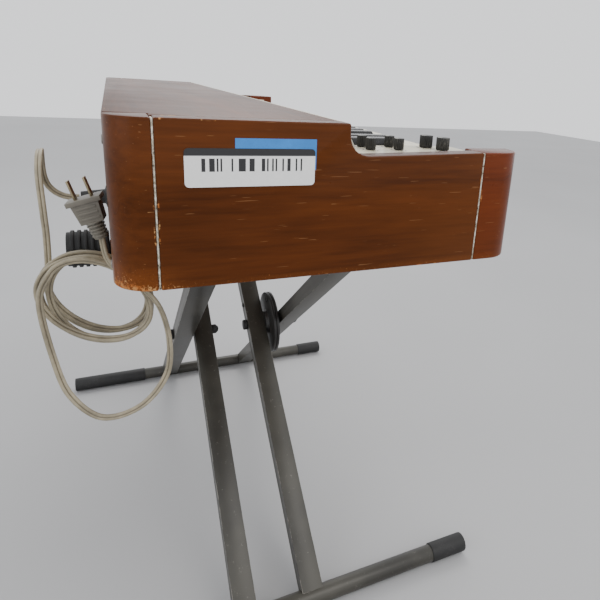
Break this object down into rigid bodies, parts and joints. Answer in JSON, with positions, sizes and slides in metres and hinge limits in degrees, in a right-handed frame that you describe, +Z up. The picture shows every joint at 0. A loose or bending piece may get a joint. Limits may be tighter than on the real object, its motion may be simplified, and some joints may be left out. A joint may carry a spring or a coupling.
{
  "type": "portable drawbar organ on a folding stand",
  "caption": "Portable drawbar organ in a glossy wooden cabinet with a full keyboard, knobs and a hanging mains lead, resting across a folding double-X steel stand.",
  "frame": {"origin": "on the floor, under the middle of the whole object's bounding box, lead not counted", "axes": "+Z up, -Y towards the player, +X towards the treble end of the keyboard"},
  "size_m": [0.98, 0.58, 0.687],
  "materials": {
    "walnut": "gloss varnish, worn at the edges",
    "steel": "satin",
    "rubber": "matt",
    "knob": "ribbed",
    "panel": "satin",
    "ivory": "gloss",
    "ebony": "gloss",
    "lead": "satin",
    "plug": "satin",
    "board": "matt",
    "iron": "varnished",
    "zinc": "zinc plated"
  },
  "bodies": {
    "far_foot": {"far_foot": "steel"},
    "outer_frame": {"outer_leg_rear": "steel", "outer_leg_front": "steel", "near_arm": "steel", "near_arm_cap": "rubber", "clutch_disc_outer": "steel", "pivot_bolt_rear": "zinc", "pivot_bolt_front": "zinc"},
    "inner_frame": {"inner_leg_rear": "steel", "inner_leg_front": "steel", "near_foot": "steel", "far_arm": "steel", "far_arm_cap": "rubber", "clutch_disc_inner": "steel"},
    "organ": {"end_board_bass": "walnut", "end_board_treble": "walnut", "front_post_bass": "walnut", "front_post_treble": "walnut", "rear_post_bass": "walnut", "rear_post_treble": "walnut", "top_board": "walnut", "bottom_board": "walnut", "key_slip": "walnut", "rear_board": "walnut", "knob_panel": "panel", "treble_block": "panel", "drawbar_fascia": "panel", "key_frame": "zinc", "tone_circuit_board": "board", "mains_transformer": "iron", "strain_relief": "rubber", "lead_run": "lead", "lead_coil": "lead", "mains_plug": "plug"},
    "knob_rear_outer": {"knob_rear_outer": "knob"},
    "knob_rear_inner": {"knob_rear_inner": "knob"},
    "knob_middle_outer": {"knob_middle_outer": "knob"},
    "knob_middle_inner": {"knob_middle_inner": "knob"},
    "knob_front_outer": {"knob_front_outer": "knob"},
    "knob_front_inner": {"knob_front_inner": "knob"},
    "drawbar_1": {"drawbar_1": "ebony"},
    "drawbar_2": {"drawbar_2": "ebony"},
    "drawbar_3": {"drawbar_3": "ivory"},
    "drawbar_4": {"drawbar_4": "ivory"},
    "drawbar_5": {"drawbar_5": "ebony"},
    "drawbar_6": {"drawbar_6": "ivory"},
    "drawbar_7": {"drawbar_7": "ebony"},
    "drawbar_8": {"drawbar_8": "ebony"},
    "drawbar_9": {"drawbar_9": "ivory"},
    "naturals_octave_1": {"naturals_octave_1": "ivory"},
    "naturals_octave_2": {"naturals_octave_2": "ivory"},
    "naturals_octave_3": {"naturals_octave_3": "ivory"},
    "naturals_octave_4": {"naturals_octave_4": "ivory"},
    "naturals_octave_5": {"naturals_octave_5": "ivory"},
    "sharps_octave_1": {"sharps_octave_1": "ebony"},
    "sharps_octave_2": {"sharps_octave_2": "ebony"},
    "sharps_octave_3": {"sharps_octave_3": "ebony"},
    "sharps_octave_4": {"sharps_octave_4": "ebony"},
    "sharps_octave_5": {"sharps_octave_5": "ebony"}
  },
  "joints": [
    {"name": "stand_fold", "type": "hinge", "parent": "far_foot", "child": "outer_frame", "pos_m": [0.347, 0, 0.014], "axis": [0, 1, 0], "range_deg": [0, 45]},
    {"name": "inner_frame_turn", "type": "hinge", "parent": "outer_frame", "child": "inner_frame", "pos_m": [0, 0, 0.27985], "axis": [0, 1, 0], "range_deg": [-90.5, 0]},
    {"name": "organ_lift", "type": "slide", "parent": "far_foot", "child": "organ", "axis": [0, 0, 1], "range_m": [0, 0.58]},
    {"name": "knob_rear_outer_turn", "type": "hinge", "parent": "organ", "child": "knob_rear_outer", "pos_m": [-0.4155, -0.05, 0.656], "axis": [0, 0, -1], "range_deg": [0, 270]},
    {"name": "knob_rear_inner_turn", "type": "hinge", "parent": "organ", "child": "knob_rear_inner", "pos_m": [-0.394, -0.05, 0.656], "axis": [0, 0, -1], "range_deg": [0, 270]},
    {"name": "knob_middle_outer_turn", "type": "hinge", "parent": "organ", "child": "knob_middle_outer", "pos_m": [-0.4155, -0.081, 0.656], "axis": [0, 0, -1], "range_deg": [0, 270]},
    {"name": "knob_middle_inner_turn", "type": "hinge", "parent": "organ", "child": "knob_middle_inner", "pos_m": [-0.394, -0.081, 0.656], "axis": [0, 0, -1], "range_deg": [0, 270]},
    {"name": "knob_front_outer_turn", "type": "hinge", "parent": "organ", "child": "knob_front_outer", "pos_m": [-0.415, -0.133, 0.656], "axis": [0, 0, -1], "range_deg": [0, 270]},
    {"name": "knob_front_inner_turn", "type": "hinge", "parent": "organ", "child": "knob_front_inner", "pos_m": [-0.396, -0.124, 0.656], "axis": [0, 0, -1], "range_deg": [0, 270]},
    {"name": "drawbar_1_pull", "type": "slide", "parent": "organ", "child": "drawbar_1", "axis": [0, -1, 0], "range_m": [0, 0.03]},
    {"name": "drawbar_2_pull", "type": "slide", "parent": "organ", "child": "drawbar_2", "axis": [0, -1, 0], "range_m": [0, 0.03]},
    {"name": "drawbar_3_pull", "type": "slide", "parent": "organ", "child": "drawbar_3", "axis": [0, -1, 0], "range_m": [0, 0.03]},
    {"name": "drawbar_4_pull", "type": "slide", "parent": "organ", "child": "drawbar_4", "axis": [0, -1, 0], "range_m": [0, 0.03]},
    {"name": "drawbar_5_pull", "type": "slide", "parent": "organ", "child": "drawbar_5", "axis": [0, -1, 0], "range_m": [0, 0.03]},
    {"name": "drawbar_6_pull", "type": "slide", "parent": "organ", "child": "drawbar_6", "axis": [0, -1, 0], "range_m": [0, 0.03]},
    {"name": "drawbar_7_pull", "type": "slide", "parent": "organ", "child": "drawbar_7", "axis": [0, -1, 0], "range_m": [0, 0.03]},
    {"name": "drawbar_8_pull", "type": "slide", "parent": "organ", "child": "drawbar_8", "axis": [0, -1, 0], "range_m": [0, 0.03]},
    {"name": "drawbar_9_pull", "type": "slide", "parent": "organ", "child": "drawbar_9", "axis": [0, -1, 0], "range_m": [0, 0.03]},
    {"name": "naturals_octave_1_press", "type": "hinge", "parent": "organ", "child": "naturals_octave_1", "pos_m": [0, 0.02, 0.64], "axis": [1, 0, 0], "range_deg": [0, 3.3], "stiffness_Nm_per_rad": 4, "springref_deg": -6.88},
    {"name": "naturals_octave_2_press", "type": "hinge", "parent": "organ", "child": "naturals_octave_2", "pos_m": [0, 0.02, 0.64], "axis": [1, 0, 0], "range_deg": [0, 3.3], "stiffness_Nm_per_rad": 4, "springref_deg": -6.88},
    {"name": "naturals_octave_3_press", "type": "hinge", "parent": "organ", "child": "naturals_octave_3", "pos_m": [0, 0.02, 0.64], "axis": [1, 0, 0], "range_deg": [0, 3.3], "stiffness_Nm_per_rad": 4, "springref_deg": -6.88},
    {"name": "naturals_octave_4_press", "type": "hinge", "parent": "organ", "child": "naturals_octave_4", "pos_m": [0, 0.02, 0.64], "axis": [1, 0, 0], "range_deg": [0, 3.3], "stiffness_Nm_per_rad": 4, "springref_deg": -6.88},
    {"name": "naturals_octave_5_press", "type": "hinge", "parent": "organ", "child": "naturals_octave_5", "pos_m": [0, 0.02, 0.64], "axis": [1, 0, 0], "range_deg": [0, 3.3], "stiffness_Nm_per_rad": 4, "springref_deg": -6.88},
    {"name": "sharps_octave_1_press", "type": "hinge", "parent": "organ", "child": "sharps_octave_1", "pos_m": [0, 0.02, 0.64], "axis": [1, 0, 0], "range_deg": [0, 3.3], "stiffness_Nm_per_rad": 4, "springref_deg": -6.88},
    {"name": "sharps_octave_2_press", "type": "hinge", "parent": "organ", "child": "sharps_octave_2", "pos_m": [0, 0.02, 0.64], "axis": [1, 0, 0], "range_deg": [0, 3.3], "stiffness_Nm_per_rad": 4, "springref_deg": -6.88},
    {"name": "sharps_octave_3_press", "type": "hinge", "parent": "organ", "child": "sharps_octave_3", "pos_m": [0, 0.02, 0.64], "axis": [1, 0, 0], "range_deg": [0, 3.3], "stiffness_Nm_per_rad": 4, "springref_deg": -6.88},
    {"name": "sharps_octave_4_press", "type": "hinge", "parent": "organ", "child": "sharps_octave_4", "pos_m": [0, 0.02, 0.64], "axis": [1, 0, 0], "range_deg": [0, 3.3], "stiffness_Nm_per_rad": 4, "springref_deg": -6.88},
    {"name": "sharps_octave_5_press", "type": "hinge", "parent": "organ", "child": "sharps_octave_5", "pos_m": [0, 0.02, 0.64], "axis": [1, 0, 0], "range_deg": [0, 3.3], "stiffness_Nm_per_rad": 4, "springref_deg": -6.88}
  ],
  "couplings": [
    {"joint": "inner_frame_turn", "follows": "stand_fold", "ratio": -2},
    {"joint": "organ_lift", "follows": "stand_fold", "m_per_rad": 0.73}
  ]
}
